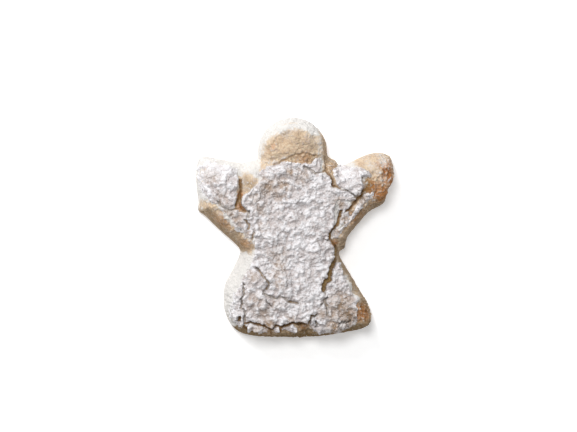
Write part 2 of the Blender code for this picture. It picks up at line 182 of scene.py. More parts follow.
# Cracks: half their width, and their route.
CRACKS = {
    "left_gap": (0.35, (
        (-20.3, 18.2), (-20.4, 16.1), (-20.2, 14), (-20.6, 12.3), (-21.4, 10.5), (-22.1, 8.8),
    )),
    "left_gap_low": (0.22, ((-20.4, 11.9), (-20.7, 9.5), (-19.7, 7.7), (-18.6, 6.8))),
    "left_wing_low": (0.18, ((-28.1, 10.2), (-27.7, 8.8), (-25.6, 7.9), (-23.9, 7.2), (-21.8, 7.7))),
    "chest_hair_top": (0.18, ((-17.6, 6.9), (-17.5, 5.8), (-17.7, 4.9))),
    "chest_hair_middle": (0.24, ((-18.8, 3.9), (-18.3, 2.8), (-17.4, 2.1), (-17.6, 0.7))),
    "chest_hair_low": (0.22, ((-15.8, -0.3), (-16.4, -1.7), (-16.4, -3.1))),
    "skirt_left": (0.23, (
        (-15.1, -12.8), (-14.1, -13.6), (-13.4, -14.7), (-13, -15.7), (-12, -16.4), (-11.3, -17.5),
        (-10.4, -18.5), (-10.9, -19.6), (-11.6, -20.3),
    )),
    "skirt_left_low": (0.17, (
        (-12.3, -21), (-12.7, -21.7), (-11.6, -22.2), (-10.6, -22.7), (-9.5, -23.4), (-8.1, -23.6),
        (-7.1, -23.1), (-6.4, -22.7), (-5.3, -23.4), (-4.3, -24.3),
    )),
    "skirt_left_end": (0.24, ((-3.9, -24.7), (-2.9, -24.7), (-1.8, -25), (-0.6, -25.4))),
    "skirt_left_branch": (0.1, ((-11.8, -23.8), (-11.5, -24.8), (-10.4, -25.4), (-9.5, -26.4))),
    "skirt_edge": (0.2, (
        (-19.3, -18.5), (-19.3, -20.3), (-19.2, -22), (-19.9, -23.4), (-19.9, -24.8), (-20.4, -25.9),
        (-20.4, -26.9), (-19.3, -27.5), (-18.8, -28.7), (-19, -30.4), (-19, -31.5),
    )),
    "hem": (0.3, (
        (-19, -31.8), (-17.2, -31.8), (-15.8, -32.2), (-14.4, -32.6), (-13, -32.7), (-12, -33.2),
        (-10.9, -33.9), (-9.9, -34.3), (-8.8, -33.8), (-7.8, -33.1), (-6.7, -33.4),
    )),
    "hem_middle": (0.42, (
        (-5.7, -33.8), (-4.3, -33.2), (-3.2, -32.5), (-2.2, -32), (-0.8, -32.2), (0.6, -33.1),
    )),
    "hem_drop_left": (0.24, ((-9.9, -34.3), (-9.5, -35.7))),
    "hem_drop_right": (0.22, ((-6.6, -33.6), (-6.2, -35.3))),
    "hem_notch": (0.26, (
        (0.6, -32.5), (2.4, -33.1), (3.4, -32.4), (3.8, -31.1), (4.1, -29.9), (5.5, -29.9), (6.2, -29.4),
    )),
    "hem_nick": (0.18, ((5.9, -31.8), (6.3, -32.8), (6, -33.6))),
    "skirt_right": (0.75, (
        (13.2, -6.6), (13.1, -9.1), (13, -10.8), (11.8, -12.2), (11.1, -13.6), (10.8, -15), (10.6, -17.1),
    )),
    "skirt_right_middle": (0.7, ((10.1, -17.5), (9.2, -17.8), (8.7, -19.2), (8.5, -20.8))),
    "skirt_right_tail": (0.18, ((8.5, -20.8), (8.8, -21.6), (9.2, -22.3))),
    "foot_hole": (0.42, ((-20.5, -30), (-20.9, -31.2))),
    "foot_hole_low": (0.42, ((-18.8, -32.8), (-18.3, -34.2))),
    "skirt_right_end": (0.2, (
        (9.7, -23.4), (8.8, -24.1), (9, -25.2), (9.7, -26.6), (9.4, -27.6), (9.9, -29.4),
    )),
    "skirt_right_branch": (0.13, ((7.6, -25.9), (8.1, -25.4), (9, -25.2))),
    "skirt_right_low": (0.15, ((13.6, -32.9), (14.6, -32), (16.4, -32.2), (18.1, -31.8))),
    "skirt_right_nick": (0.1, ((16.7, -32.2), (17.1, -33.9))),
    "chest_right": (0.42, (
        (14.6, 6.7), (14.3, 4.9), (13.6, 3.2), (12.9, 1.4), (12.2, 0.4), (11.8, 0.4), (11.1, -1),
        (10.6, -2.8),
    )),
    "chest_right_low": (0.3, ((10.6, -2.8), (11.5, -4.2), (12.9, -5.6))),
    "waist_nick": (0.13, ((8.7, -3.1), (9.7, -3.7), (10.8, -3.5))),
    "wing_seam": (0.36, ((22.3, 13.3), (21.6, 11.2), (20.2, 9.8), (18.8, 8.8), (17.8, 7.4), (16.4, 6.7))),
    "wing_seam_branch": (0.18, ((17.8, 7.4), (17.6, 5.3))),
    "wing_hair": (0.12, ((14.6, 14), (16.4, 13.7), (17.8, 13), (19.2, 11.9), (19.9, 10.9))),
    "neck_right": (0.25, ((10.9, 18.8), (11.6, 17.2), (11.5, 15.8), (12.9, 15.1), (14.3, 14.5))),
    "neck_knob": (0.21, ((10.1, 24.5), (9.9, 22.4), (9.5, 20.7), (10.9, 18.8))),
    "collar": (0.18, (
        (1.7, 22.1), (3.1, 21.4), (4.5, 20.8), (5.2, 20), (6.6, 19.8), (8, 20.1), (9.4, 21),
    )),
    "chin": (0.2, (
        (-8.8, 22.9), (-7.1, 23.3), (-6, 24.2), (-4.6, 24.9), (-3.6, 25.6), (-2.2, 25.9), (-1.1, 26.6),
        (0.3, 26.3), (1.3, 26.8), (3.1, 26.6), (4.5, 26.1), (6.6, 25.7),
    )),
    "brow": (0.13, ((-6, 33.6), (-5, 33.5), (-3.9, 33.8), (-3.6, 34.3))),
}

# Where the paste is toasted, with a few spots on walls and in hollows turned from the light that are
# painted shade: X, Y, reach and strength.
TOASTED_AND_SHADED = (
    (33.5, 17, 4.5, 1), (31, 21, 4, 0.75), (28.5, 12.5, 4, 0.8), (24.2, 14.8, 3.4, 0.85),
    (31.5, 9.5, 3, 0.8), (23.5, -28.5, 3.6, 0.95), (20, -31, 2.2, 0.8), (19.6, -26.3, 1.6, 0.6),
    (-20.5, -30.3, 1.1, 0.8), (-17.8, -34, 1.6, 0.8), (1.8, -35, 2.6, 0.5), (-20.4, 12.5, 1.6, 0.7),
    (-20.2, 8.4, 1.9, 0.7), (0.5, 27, 5.5, 0.2), (-9, 29.2, 1.8, 0.3), (12.5, -5, 1.8, 0.7),
    (1.5, 24.6, 3.8, 0.42), (15.5, 5.5, 4, 0.45), (21, 4, 6, 0.5), (-9, -37.8, 9, 0.3),
    (9, -37.8, 9, 0.3), (-27.5, 1.5, 5.5, 0.55), (-19, -5, 3, 0.55), (-16.5, 16.5, 2.5, 0.25),
    (23, 19, 2.5, 0.35), (12.5, 22, 2, 0.35), (33, 22.8, 2.6, 0.7),
)

# Where the paste is browner and darker, partly browned in the bake and partly painted shade on walls
# and hollows turned from the light: strength, reach to each side and route.
BROWNED_AND_SHADED = {
    "hem": (1.2, 4, (
        (-21, -35.5), (-14.4, -38.2), (-3.9, -38.6), (7.3, -38.6), (17.8, -37.3), (25.1, -35.3),
    )),
    "left_wing": (0.65, 3.6, ((-32.4, 5.2), (-27.4, 0.4), (-19.8, -6.6))),
    "right_wing": (0.6, 4.5, ((31.3, 8.7), (25.5, 5.1), (19.2, -2.2), (17.4, -6.8))),
    "skirt_right": (0.65, 4, ((16.1, -10.9), (21.6, -20.1), (25.5, -26.7))),
    "left_slope": (0.6, 2.6, ((-18.5, 17), (-15.5, 14.5))),
    "flank": (0.35, 2.5, ((15.5, 6.5), (14, 1))),
    "wing_hollow": (0.9, 2.2, ((22.8, 18), (23.6, 15.4), (22.6, 11.9))),
    "chin": (0.35, 2, ((-3, 24.5), (6, 24.5))),
    "head_right": (0.35, 1.6, ((9.6, 31.5), (10.6, 27), (10.4, 23.5))),
    "neck": (0.4, 2, ((12.5, 22), (12, 17))),
}

# Where the paste is rough: X, Y, reach and strength.
ROUGH = (
    (31.5, 18.5, 6.5, 1), (27.5, 17.5, 3, 0.9), (28.5, 11, 4, 0.7), (23.5, -29, 4.5, 1),
    (1.5, 24.5, 4.5, 0.5), (-29, 18, 6, 0.5), (-20.5, -31.5, 2.5, 0.8), (2, -35, 3, 0.8),
    (-22, 2, 6, 0.4), (5, 35.5, 4, 0.6), (-7, 34, 3.5, 0.4), (22, 8, 4, 0.6), (-17, 16, 2.5, 0.15),
    (-23, -24, 4, 0.5), (8, 26, 4, 0.5), (15.5, 6, 4, 0.9), (-9, 30, 3, 0.4), (-9.5, 23.5, 3, 0.9),
    (28, 24, 5, 0.7), (-1, 37, 5, 0.4), (-11, 33, 3, 0.4), (17, -6, 3, 0.6), (-21, -30, 3, 0.8),
    (0, -37.5, 12, 0.5), (22, -20, 5, 0.4), (12.5, 22.5, 2.5, 0.8),
)

# Where powder lies thick on the paste: X, Y, reach and strength.
DUSTED = (
    (7.2, 23.8, 1.3, 0.9), (6, 31, 1.4, 0.3), (5, 35, 2.6, 0.8), (29.5, 18, 2, 0.25),
    (27.5, 20.5, 1.8, 0.4), (30, 23.5, 2.5, 0.5), (25.5, 22.5, 2.2, 0.35), (-4.6, 34.4, 2.2, 0.35),
)

# Where the paste is bare of powder: how softly that begins, how bare it is, and its edge.
BARE = {
    "face": (1.5, 0.95, (
        (-12.2, 27.3), (-11.4, 30.2), (-8.1, 33.8), (-2.5, 35.4), (3.1, 34.6), (6.8, 31.5), (7.3, 28.7),
        (6.6, 26.2), (0.3, 26.4), (-5.3, 25.2), (-10.2, 24.8),
    )),
    "head_left": (0.8, 0.75, (
        (-11.5, 27), (-6, 25.5), (-3.5, 24.5), (-8, 22.4), (-12, 20.5), (-13.5, 22),
    )),
    "head_streak": (0.4, 0.5, ((-6.4, 36), (-0.4, 36.7), (-0.6, 37.5), (-6, 36.9))),
    "chin": (0.6, 1, (
        (-6, 24.4), (-3, 25.8), (1.5, 26.8), (6.8, 26), (7.2, 24.8), (5, 22.8), (-1, 22.6), (-5, 23.4),
    )),
    "right_wing": (1.8, 1, (
        (20, 24), (25.8, 26.3), (30.5, 27.3), (35.5, 25), (36, 17.3), (32.9, 13.1), (31.7, 8.2),
        (27.5, 5.2), (22.3, 0.3), (18.1, -4.6), (16.7, -8.5), (12.5, -6.1), (11.8, -3), (18.1, 9.3),
        (21.6, 13.1), (22.6, 18),
    )),
    "left_gap": (0.5, 1, (
        (-21.2, 19.2), (-19.7, 18.8), (-19.1, 15.3), (-19.8, 11.8), (-17.7, 7.6), (-19.1, 6.2),
        (-22.6, 6.6), (-24, 8.7), (-21.9, 11.8),
    )),
    "left_slope": (1.2, 0.82, ((-19.9, 20), (-14.8, 19), (-14.6, 16), (-18, 12), (-20.3, 13.4))),
    "left_wall": (1.2, 0.92, (
        (-33.4, 11), (-30, 9.6), (-26.5, 7.6), (-24.5, 4), (-20, -1), (-15.1, -3.2), (-15.8, -7.4),
        (-20, -7.7), (-26.3, -1.5), (-31.5, 3.7), (-33.6, 6.4),
    )),
    "head_right": (0.8, 0.7, ((7.2, 33), (10.2, 32), (12.5, 27), (9.6, 24), (8.4, 26), (8.6, 29.5))),
    "hem_gap": (0.6, 1, (
        (-20, -31.2), (-15.8, -31.6), (-9.9, -33.2), (-6.5, -32.8), (-2.2, -31.2), (3, -31.8), (5, -33.9),
        (6.9, -36.4), (-4, -36.5), (-16, -36), (-20, -34.5),
    )),
    "bottom_wall": (0.8, 1, (
        (-21.3, -33.8), (-16.4, -35.4), (1.1, -35.4), (16.9, -35.8), (25, -33.7), (27, -37.6),
        (15.1, -39.7), (-19.9, -39), (-22.8, -36),
    )),
    "corner": (0.6, 1, (
        (19.1, -25.7), (22.6, -24.3), (27.8, -28.9), (27.8, -34.5), (20.2, -34.8), (19.5, -30.3),
    )),
    "right_skirt_wall": (1, 0.55, (
        (15.5, -8.8), (22.6, -20), (26.5, -26.5), (21.5, -27), (17.5, -18.5), (13.8, -11.5),
    )),
    "foot_spot": (0.4, 0.9, ((-22.2, -29.2), (-20.4, -29.6), (-20.4, -31.7), (-21.8, -32))),
    "foot_spot_low": (0.4, 0.9, ((-19.3, -32.1), (-17.2, -32.4), (-17.2, -35.2), (-19.6, -34.9))),
    "neck": (0.7, 0.9, (
        (9.2, 29), (11.5, 25.4), (13.9, 25), (14.1, 21.5), (12.5, 19.8), (13.9, 14.9), (11.4, 15.2),
        (10, 18.7), (8.3, 20.8), (8.9, 24.6),
    )),
    "waist": (0.6, 0.9, (
        (11.6, -2.4), (14.7, -4.5), (17.6, -6.9), (15, -9.4), (13.3, -8), (13.3, -11.5), (12.6, -12.2),
        (12.3, -8),
    )),
    "left_wing_blush": (1.2, 0.7, (
        (-33.8, 21), (-32.2, 23.2), (-29.8, 23.2), (-26.5, 21.8), (-24, 20.2), (-26, 18), (-29.8, 17.2),
        (-32.6, 16), (-34.2, 17.2),
    )),
}

# Where the powder came from, the side the lights come from too, and between which turns to that side
# it comes in. Walls turned that way are whitened partly by powder and partly as painted light.
POWDER_AND_LIGHT_FROM = (-0.58, 0.58, 0.57)
POWDER_AND_LIGHT_FACING = (-0.35, 0.7)

# Where the crust is tinted brown, partly thin sugar that shows the paste and partly painted shade
# where it lies darker: X, Y, reach and strength.
TINTED_AND_SHADED = (
    (-3.5, 20.3, 1.5, 0.9), (1, 19, 3.4, 0.6), (-11, 15.5, 4, 0.75), (-7, 12.5, 3.5, 0.5),
    (-13.5, 8, 3.5, 0.5), (-7.5, -8.5, 4, 0.45), (-8, -15, 3.5, 0.5), (-15.5, -24.5, 4, 0.5),
    (-12.5, -28.5, 3.5, 0.6), (14.5, -25.5, 4.5, 0.85), (17, -30, 4, 0.9), (-23, 3.5, 4, 0.6),
    (-30.5, 19, 3.5, 0.6), (-26.5, 12.5, 3, 0.5), (2.5, -36, 3, 0.5), (-6.7, -11.9, 2.8, 0.75),
    (12.2, -33.4, 2.8, 1), (12.2, -29.8, 2.5, 0.8), (-10.5, -32.6, 2.5, 0.9), (-14.7, -34.8, 2.2, 0.8),
    (-18.9, -2, 2.2, 0.9), (-15.4, 11.5, 2.4, 0.75), (-5.8, 15.9, 2.8, 0.8), (-16.1, -15.8, 2.2, 0.6),
    (22, 10.5, 2.2, 0.95), (14, 9.4, 2.2, 0.9), (14.7, -35.4, 2.2, 0.8), (-8.4, -25.6, 2.2, 0.55),
    (-24.5, 6.3, 2.8, 0.9), (-12.6, 1.7, 2.5, 0.5), (-7.7, -18.2, 2.5, 0.5), (12.9, -0.7, 2, 0.8),
    (7.7, -29.1, 2.2, 0.6), (-27, 9.8, 2.2, 0.7), (16.1, 3.8, 2.2, 0.8), (-2.8, -30.8, 2.2, 0.6),
)

# Where the crust is whitest, its painted hollow shade lifted: X, Y, reach and strength.
SNOWY = (
    (7.5, 14, 5, 0.9), (6, 5, 4.5, 0.8), (1.5, -3, 4, 0.7), (1, -12, 5, 0.9), (4.5, -21, 5, 0.9),
    (4, -29, 3, 0.7), (-14.5, 18, 2, 0.6), (18, 18, 4, 1), (-28, 16.5, 2.5, 0.6), (-13.5, -8, 2.5, 0.6),
    (-5, 22.5, 2.5, 0.6), (-29.5, 21, 4, 1), (-20.7, -24.5, 2.6, 1), (0.7, 9.1, 2.8, 0.9),
    (-13.7, -20.3, 2.5, 0.8), (-31.2, 18.2, 2.5, 0.8), (-9.5, -3.9, 2.5, 0.7),
)

# Kinds of noise: size of their features in mm, seed and weight.
NOISES = {
    "swell": (7.0, 61.0, 0.9), "wave": (3.6, 67.0, 0.95), "warp": (1.7, 71.0, 0.5),
    "ridge": (2.3, 21.0, 1.0), "cobble": (1.15, 33.0, 1.0), "crumple": (1.5, 51.0, 1.0),
    "grit": (0.65, 45.0, 1.0), "pit": (1.1, 57.0, 1.0), "ragged": (1.6, 81.0, 1.0),
    "ragged_fine": (0.65, 83.0, 0.6), "crag": (1.2, 19.0, 1.0), "crag_fine": (0.65, 23.0, 0.7),
    "lump": (1.5, 11.0, 1.0), "lump_fine": (0.7, 13.0, 0.6), "lump_broad": (4.5, 15.0, 1.0),
    "patch": (3.0, 29.0, 0.8), "speck": (0.65, 25.0, 1.0),
}
NOISE_GAIN = 1.4
# Numbers that make a cell's place and a seed look random, and the steps between related seeds.
HASH_CELL = (127.1, 311.7, 74.7)
HASH_SEED = 19.19
HASH_SPREAD = 43758.5453
AXIS_SEED = 0.37
RADIUS_SEED = 2.1
HEIGHT_SEED = 3.3
# How far breaks wander from their drawn routes: feature size and reach of each step, in mm.
BREAK_WANDER = ((1.9, 0.3), (0.8, 0.22), (0.5, 0.14))
WANDER_SEED = 3.3
WANDER_AXIS_SEED = 2.4
WANDER_STEP_SEED = 5

# Lumps that run into each other, in cells of their size: the least and the spread of their radius
# and height, how far their middles wander, the squared distance where a lump ends and over how much
# it fades, the height that counts as level, and how crisply lumps meet.
PEBBLE_RADIUS = (0.65, 0.45)
PEBBLE_HEIGHT = (0.45, 0.55)
PEBBLE_WANDER = 0.8
PEBBLE_END = 1.21
PEBBLE_FADE = 0.5
PEBBLE_MIDDLE = 0.6
MELDING = 8.0

# Bands along the cracks: the half width that counts in full, and from where to where the band
# fades, measured from the crack's side and negative inside it.
# Two of the bands paint shade: one darkens the crust in its cracks, the other the paste along the sides
# of its cracks.
CRACK_BANDS = {
    "crust_cut": (0.16, -0.12, 0.22), "crust_dip": (0.2, 0.0, 0.8),
    "crust_crack_shade": (0.12, -0.08, 0.26), "paste_cut": (0.5, -0.25, 0.3),
    "paste_crack_shade": (0.3, 0.0, 0.3), "paste_crack_shade_inside": (0.6, -0.5, 0.0),
}
CRACK_DIP = 0.2

# The crust: its sharp edges lift in a lip, and soft edges end in a fringe of drifted sugar.
EDGE_STEPS = 3
SHARP_EDGE = 0.5
LIP_SHARE = 0.2
LIP_INSET = 0.7
LIP_REACH = 0.5
FRINGE = 3.0
BLUNTED = 0.9
PIT_ONSET = (0.15, 0.6)
LEAST_COVER = 0.1
LOWEST_CRUST = 3.0
LOWEST_CRUST_TURN = 0.1
FULL_CRUST = (-0.2, 0.6)
# The crust's hollows get painted shade over this range of lump depth in mm, and the whitest spots lift
# that painted shade by SNOW_FILL.
HOLLOW_SHADE = (-0.45, 0.65)
SNOW_FILL = 0.4

# Ranges in which something comes in: a turn is a normal's Z, 1 on top and -1 under the cookie, and
# the rest are millimetres.
TOP_TURN = (0.0, 0.6)
TOP_HEIGHT = (4.0, 9.0)
UNDER_TURN = (0.3, 0.8)
RISING_TURN = (-0.2, 0.3)
RISING_HEIGHT = (0.5, 2.0)
TOAST_HEIGHT = (3.0, 11.0)
FOOT_HEIGHT = (0.0, 3.0)
CUT_CLEARS_POWDER = (0.1, 0.6)
CUT_SHOWS_CRACK = (0.1, 0.7)
SPECK_ONSET = (0.1, 0.8)

# How strongly the paste's marks work on each other.
CRAGS_EVERYWHERE = 0.12
DRIFT_RISE = 0.7
ROUGH_BREAKS_TOAST = 0.8
LUMPS_LIFT_TOAST = 2
LOW_TOAST = 0.35
FOOT_TOAST = 0.3
UNDER_BROWNED = 0.4
CRAGS_IN_SPECKS = 0.5
SPECK_POWDER = 0.6
SPECKS_ON_WALLS = 0.4
CRAG_POWDER = 0.3
DRIFT_POWDER = (0.3, 0.6)
# How dark the painted shade along the paste's cracks is.
CRACK_SHADE_STRENGTH = 0.75

# The paste is hidden where crust of this rooting stands this high over it, and on the base inside
# its rim, in mm.
HIDING_ROOTING = 0.4
HIDING_HEIGHT = 0.35
BASE_HEIGHT = 0.15
BASE_RIM = 2
HIDDEN_SHARE = 0.12

# Loose sugar: where it stays by how far a face turns up, and how unevenly it is sized.
CRUMB_TURN = (0.3, 0.8)
POWDER_TURN = (-0.1, 0.5)
STRAY_POWDER = 0.08
LOOSE_SCALES = ((0.35, 0.35, 0.25), (1.0, 1.0, 0.8))
LOOSE_TURNS = ((0.0, 0.0, 0.0), (6.28, 6.28, 6.28))
PER_SQUARE_METRE = 1e6


def linear(code):
    """The colour of an sRGB hex code, as linear red, green, blue and alpha."""
    parts = [int(code[i : i + 2], 16) / 255 for i in (0, 2, 4)]
    return tuple(p / 12.92 if p <= 0.04045 else ((p + 0.055) / 1.055) ** 2.4 for p in parts) + (1.0,)


# ---------------------------------------------------------------- sizes and colours to change


def amount(name, text, default, **more):
    """A number that the panel shows."""
    return FloatProperty(name=name, description=text, default=default, **more)


def size(name, text, millimetres, low=0.0):
    """A length that the panel shows, kept in millimetres."""
    return amount(name, text, millimetres, min=low, max=50.0)


def colour(name, text, code):
    """A colour that the panel shows."""
    return FloatVectorProperty(
        name=name, description=text, subtype="COLOR", size=4, min=0, max=1, default=linear(code)
    )


class PasteSettings(bpy.types.PropertyGroup):
    """The almond paste."""

    voxel: size("Voxel", "Size of the paste's mesh cells, in mm", 0.27, 0.2)
    lump_height: size("Lumps", "Height of the lumps on bare paste, in mm", 0.16)
    crag_height: size("Crags", "Height of the crags where the paste is rough, in mm", 0.7)
    crack_depth: size("Crack depth", "Depth of the cracks in the paste, in mm", 1.0)
    pale: colour("Pale", "Paste that has taken little colour", "DAC7AD")
    golden: colour("Golden", "Paste that has baked golden", "BE9E7F")
    toasted: colour("Toasted", "Paste toasted at the edges", "B57A49")
    # Also the painted shade along the sides of the paste's cracks.
    scorched_and_crack_shade: colour("Scorched", "Darkest specks of the toasted paste", "6B4828")
    # Also painted shade on walls and hollows turned from the light.
    browned: colour("Browned", "Paste that has browned evenly", "84683F")
    crack: colour("Crack", "Paste in the cracks", "A88C5E")
    # Also painted light on the walls turned to the lights.
    powder: colour("Powder", "Icing sugar dusted on the paste", "E0DDD9")


class CrustSettings(bpy.types.PropertyGroup):
    """The crust of baked icing sugar."""

    voxel: size("Voxel", "Size of the crust's mesh cells, in mm", 0.24, 0.2)
    rooting: size("Rooting", "How far the crust reaches into the paste, in mm", 0.45)
    ridge_height: size("Ridges", "Height of the crumpled ridges, in mm", 1.5)
    crumple_height: size("Crumple", "Height of the uneven crumple, in mm", 0.55)
    cobble_height: size("Cobbles", "Height of the small lumps, in mm", 0.85)
    grit_height: size("Grit", "Height of the finest lumps, in mm", 0.32)
    pit_depth: size("Pits", "Depth of the pits, in mm", 0.4)
    sugar: colour("Sugar", "Thick baked sugar", "EDEBED")
    # Painted shade: the sugar's colour in the crust's hollows.
    shade: colour("Shade", "Sugar in the hollows", "C3BAB8")
    # Partly painted shade, strongest in the crust's hollows.
    tint: colour("Tint", "Thin sugar tinted by the paste", "A58C74")
    # Painted shade: the dark colour in the crust's narrow cracks.
    crack: colour("Crack", "Broken faces in the cracks", "57432C")


class CrumbSettings(bpy.types.PropertyGroup):
    """Loose crumbs and powder of sugar."""

    crumbs: IntProperty(name="Crumbs", description="Crumbs a square millimetre", default=1, min=0)
    crumb: size("Crumb", "Radius of the largest crumb, in mm", 0.26)
    powder: IntProperty(name="Powder", description="Grains a square millimetre", default=1, min=0)
    grain: size("Grain", "Radius of the largest grain of powder, in mm", 0.15)
    seed: IntProperty(name="Seed", description="Seed of the scatter", default=7)


class StageSettings(bpy.types.PropertyGroup):
    """Floor, light and camera."""

    floor: colour("Floor", "Colour of the floor", "F8F8F8")
    glow: amount("Glow", "Light given off by the light table", 0.35)
    key_power: amount("Key", "Power of the high light", 2.7, unit="POWER")
    rake_power: amount("Rake", "Power of the low light", 2.3, unit="POWER")
    light_size: amount("Light size", "Side of both lights", 0.22, unit="LENGTH")
    ambient: amount("Ambient", "Strength of the light all round", 0.27)


# ---------------------------------------------------------------- plan geometry


def smooth_loop(corners, steps):
    """A closed smooth line through the corners, with this many steps between neighbours."""
    p = np.array(corners, float)
    before, after, beyond = np.roll(p, 1, 0), np.roll(p, -1, 0), np.roll(p, -2, 0)
    rows = []
    for t in np.arange(steps) / steps:
        rows.append(
            0.5 * (2 * p + (after - before) * t
                   + (2 * before - 5 * p + 4 * after - beyond) * t**2
                   + (3 * p - before - 3 * after + beyond) * t**3)
        )
    return np.stack(rows, 1).reshape(-1, 2)


def outline():
    """The cookie's outline at the girth, as a closed line of many short steps."""
    angles = np.radians(np.linspace(HEAD_FROM_DEGREES, HEAD_TO_DEGREES, HEAD_STEPS))
    head = [
        (HEAD_CENTRE[0] + HEAD_RADIUS * math.cos(a), HEAD_CENTRE[1] + HEAD_RADIUS * math.sin(a))
        for a in angles
    ]
    edge = head + list(RIGHT_WING_EDGE) + list(SKIRT_EDGE) + list(LEFT_WING_EDGE)
    return smooth_loop(edge, OUTLINE_STEPS)


def distance_to(places, route, closed=False):
    """How far each place is from a route of straight steps."""
    starts = np.array(route, float)
    ends = np.roll(starts, -1, 0)
    if not closed:
        starts, ends = starts[:-1], ends[:-1]
    best = np.full(len(places), np.inf)
    for start, end in zip(starts, ends):
        along = end - start
        share = np.clip((places - start) @ along / (along @ along), 0, 1)
        gap = np.linalg.norm(places - start - share[:, None] * along, axis=1)
        best = np.minimum(best, gap)
    return best


def inside(places, loop):
    """Whether each place lies inside a closed loop, by counting the crossings to its right."""
    crossings = np.zeros(len(places), int)
    starts = np.array(loop, float)
    for start, end in zip(starts, np.roll(starts, -1, 0)):
        spans = (start[1] > places[:, 1]) != (end[1] > places[:, 1])
        rise = end[1] - start[1] or 1.0
        crossing_x = start[0] + (places[:, 1] - start[1]) * (end[0] - start[0]) / rise
        crossings += spans & (places[:, 0] < crossing_x)
    return crossings % 2 == 1


def depth_inside(places, loop):
    """How far inside a closed loop each place lies, negative outside it."""
    gap = distance_to(places, loop, closed=True)
    return np.where(inside(places, loop), gap, -gap)


def edge_depth(places, edge):
    """How far inside a smooth line through an edge's corners each place lies."""
    return depth_inside(places, smooth_loop(edge, EDGE_STEPS))


def ease(values, low, high):
    """0 below low, 1 above high and a smooth step between."""
    t = np.clip((values - low) / (high - low), 0, 1)
    return t * t * (3 - 2 * t)


def chance(cells, seed):
    """A repeatable number from 0 to 1 for each cell of a grid."""
    mixed = np.sin(cells @ np.array(HASH_CELL) + HASH_SEED * seed) * HASH_SPREAD
    return mixed - np.floor(mixed)


def chances(cells, seed):
    """Three such numbers for each cell."""
    return np.stack([chance(cells, seed + AXIS_SEED * axis) for axis in (1, 2, 3)], 1)


def noise_at(rows, feature, seed):
    """Smooth noise from about -1 to 1 with features of this size."""
    grid = rows / feature
    cell = np.floor(grid)
    inner = grid - cell
    fade = inner**3 * (inner * (inner * 6 - 15) + 10)
    total = np.zeros(len(rows))
    for corner in itertools.product((0, 1), repeat=3):
        slope = 2 * chances(cell + corner, seed) - 1
        weight = np.where(corner, fade, 1 - fade).prod(axis=1)
        total += weight * (slope * (inner - corner)).sum(axis=1)
    return total * NOISE_GAIN


def noise(rows, *kinds):
    """The sum of these kinds of noise, each with its weight."""
    return sum(weight * noise_at(rows, *spec) for *spec, weight in (NOISES[kind] for kind in kinds))


def pebbles(rows, feature, seed):
    """Height from about 0 to 1 of round lumps of uneven size that run into each other."""
    grid = rows / feature
    cell = np.floor(grid)
    total = np.ones(len(rows))
    for corner in itertools.product((-1, 0, 1), repeat=3):
        near = cell + corner
        centre = near + 0.5 + PEBBLE_WANDER * (chances(near, seed) - 0.5)
        radius = PEBBLE_RADIUS[0] + PEBBLE_RADIUS[1] * chance(near, seed + RADIUS_SEED)
        height = PEBBLE_HEIGHT[0] + PEBBLE_HEIGHT[1] * chance(near, seed + HEIGHT_SEED)
        gap = ((grid - centre) ** 2).sum(axis=1)
        window = np.clip((PEBBLE_END - gap) / PEBBLE_FADE, 0, 1)
        total += np.exp(MELDING * height * (1 - gap / radius**2)) * window
    return np.log(total) / MELDING


def bell(gap, reach, height):
    """The height where the gap is 0, falling smoothly away over this reach."""
    return height * np.exp(-((gap / reach) ** 2))


def round_bells(places, rows):
    """Soft round rises over the places, one after the other."""
    for x, y, reach, height in rows:
        yield bell(np.linalg.norm(places - (x, y), axis=1), reach, height)


def spots(places, rows):
    """The strongest of several soft round spots at each place, from 0 to 1."""
    return reduce(np.maximum, round_bells(places, rows))


def along(places, routes):
    """The strongest of several soft bands at each place, each along its own route."""
    bands = (bell(distance_to(places, route), reach, height) for height, reach, route in routes.values())
    return reduce(np.maximum, bands)


def zone(places, edge, soft):
    """1 well inside a smooth edge, 0 well outside it, and a soft step of this half width between."""
    return ease(edge_depth(places, edge), -soft, soft)


def paste_height(depth):
    """Height of the paste where the outline is this far away."""
    wall = np.clip(depth / WALL_LEAN, 0, 1)
    crown = np.clip((depth - WALL_LEAN) / CROWN_REACH, 0, 1)
    wall_rise = (WALL_TOP - EDGE_HEIGHT) * (1 - (1 - wall) ** 1.5)
    return EDGE_HEIGHT + wall_rise + CROWN_RISE * (1 - (1 - crown) ** 2)


def wandered(rows):
    """The rows' plan places moved about a little, so that a break that follows them is uneven."""
    moved = rows[:, :2].copy()
    for step, (feature, reach) in enumerate(BREAK_WANDER):
        seeds = [WANDER_SEED + WANDER_AXIS_SEED * axis + WANDER_STEP_SEED * step for axis in (0, 1)]
        moved += reach * np.stack([noise_at(rows, feature, seed) for seed in seeds], 1)
    return moved


def crack_share(places, band):
    """1 in a crack, fading beside it as the band says; narrow cracks count for less."""
    full_width, low, high = CRACK_BANDS[band]
    return reduce(np.maximum, (
        min(half_width / full_width, 1) * (1 - ease(distance_to(places, route) - half_width, low, high))
        for half_width, route in CRACKS.values()
    ))


def ground_rise(rows):
    """Rise and fall that the paste and the crust on it share."""
    return sum(round_bells(rows[:, :2], SWELLS)) + noise(rows, "swell", "wave")


def top_share(rows, normals):
    """1 on the cookie's top, 0 on its walls and base."""
    return ease(normals[:, 2], *TOP_TURN) * ease(rows[:, 2], *TOP_HEIGHT)


# ---------------------------------------------------------------- mesh helpers


def mesh_object(name, mesh):
    """A new object in the scene."""
    made = bpy.data.objects.new(name, mesh)
    bpy.context.scene.collection.objects.link(made)
    return made


def with_modifiers_applied(thing):
    """Gives the object its evaluated mesh in place of its modifiers."""
    graph = bpy.context.evaluated_depsgraph_get()
    mesh = bpy.data.meshes.new_from_object(thing.evaluated_get(graph))
    thing.modifiers.clear()
    thing.data = mesh


